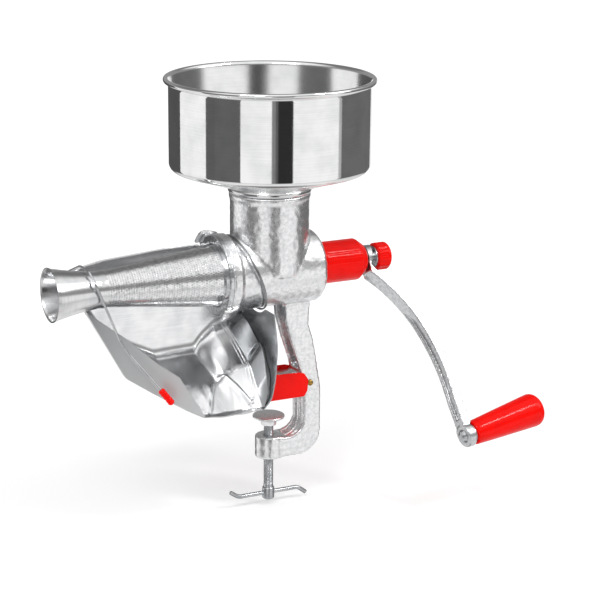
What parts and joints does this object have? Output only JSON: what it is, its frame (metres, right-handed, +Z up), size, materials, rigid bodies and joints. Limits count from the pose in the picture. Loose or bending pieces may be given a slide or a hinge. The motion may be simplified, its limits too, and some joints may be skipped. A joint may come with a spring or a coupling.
{
  "type": "tomato strainer with crank",
  "caption": "Table clamped hand crank tomato strainer: hopper, auger barrel, perforated cone, waste funnel and juice tray.",
  "frame": {"origin": "table seat: the table pad's underside, on the clamp screw's axis and under the hopper's axis", "axes": "+Z up along the clamp screw and the hopper, +X along the barrel towards the crank, -Y the side that the juice pours to"},
  "size_m": [0.4951, 0.2317, 0.4433],
  "materials": {
    "cast_aluminium": "tumbled casting, satin",
    "red_plastic": "moulded, glossy",
    "polished_steel": "mirror polished stainless steel",
    "perforated_steel": "perforated stainless steel",
    "sheet_steel": "bright rolled stainless steel",
    "bright_steel": "zinc plated",
    "brass": "plain",
    "seal_rubber": "matt"
  },
  "bodies": {
    "stand": {"body_casting": "cast_aluminium", "table_pad": "red_plastic", "table_pad_screw": "brass", "shaft_seal": "seal_rubber", "rear_bushing": "red_plastic", "drip_tray": "sheet_steel", "tray_back": "sheet_steel", "tray_hanger_hoop": "sheet_steel", "tray_knuckle": "sheet_steel"},
    "crank": {"auger_screw": "cast_aluminium", "auger_shaft": "bright_steel", "shaft_pin": "bright_steel", "pressure_spring": "bright_steel", "thrust_washer": "bright_steel", "crank_arm": "cast_aluminium", "grip_rivet": "bright_steel", "grip_washer": "bright_steel"},
    "grip": {"handle_grip": "red_plastic"},
    "knob_washer": {"knob_washer": "bright_steel"},
    "knob": {"crank_knob": "red_plastic"},
    "hopper": {"hopper_bowl": "polished_steel", "hopper_spigot": "polished_steel"},
    "strainer": {"filter_flange": "cast_aluminium", "filter_cone": "perforated_steel", "waste_funnel": "sheet_steel"},
    "latch": {"latch_wire": "sheet_steel", "latch_tip": "red_plastic"},
    "clamp_disc": {"clamp_disc": "cast_aluminium"},
    "clamp_screw": {"clamp_screw": "bright_steel"},
    "tommy_bar": {"tommy_bar": "bright_steel"}
  },
  "joints": [
    {"name": "crank_turn", "type": "hinge", "parent": "stand", "child": "crank", "pos_m": [0.08, 0, 0.1345], "axis": [1, 0, 0], "continuous": true},
    {"name": "grip_spin", "type": "hinge", "parent": "crank", "child": "grip", "pos_m": [0.1698, -0.1124, -0.03214], "axis": [0.9848, 0.0971, 0.144], "continuous": true},
    {"name": "knob_travel", "type": "slide", "parent": "crank", "child": "knob_washer", "axis": [1, 0, 0], "range_m": [0, 0.0091]},
    {"name": "knob_turn", "type": "hinge", "parent": "knob_washer", "child": "knob", "pos_m": [0.125, 0, 0.1345], "axis": [1, 0, 0], "range_deg": [0, 2160]},
    {"name": "hopper_lift", "type": "slide", "parent": "stand", "child": "hopper", "axis": [0, 0, 1], "range_m": [0, 0.02]},
    {"name": "strainer_twist", "type": "hinge", "parent": "stand", "child": "strainer", "pos_m": [-0.06, 0, 0.1345], "axis": [1, 0, 0], "range_deg": [0, 35]},
    {"name": "latch_swing", "type": "hinge", "parent": "stand", "child": "latch", "pos_m": [-0.19, 0.05, 0.1405], "axis": [-1, 0, 0], "range_deg": [0, 100]},
    {"name": "clamp_travel", "type": "slide", "parent": "stand", "child": "clamp_disc", "axis": [0, 0, 1], "range_m": [-0.0106, 0.0196]},
    {"name": "clamp_turn", "type": "hinge", "parent": "clamp_disc", "child": "clamp_screw", "pos_m": [0, 0, -0.05], "axis": [0, 0, 1], "range_deg": [-2520, 4680]},
    {"name": "tommy_slide", "type": "slide", "parent": "clamp_screw", "child": "tommy_bar", "axis": [1, 0, 0], "range_m": [-0.02, 0.02]}
  ],
  "couplings": [
    {"joint": "clamp_travel", "follows": "clamp_turn", "m_per_rad": 0.00023873},
    {"joint": "knob_travel", "follows": "knob_turn", "m_per_rad": 0.00023873}
  ]
}
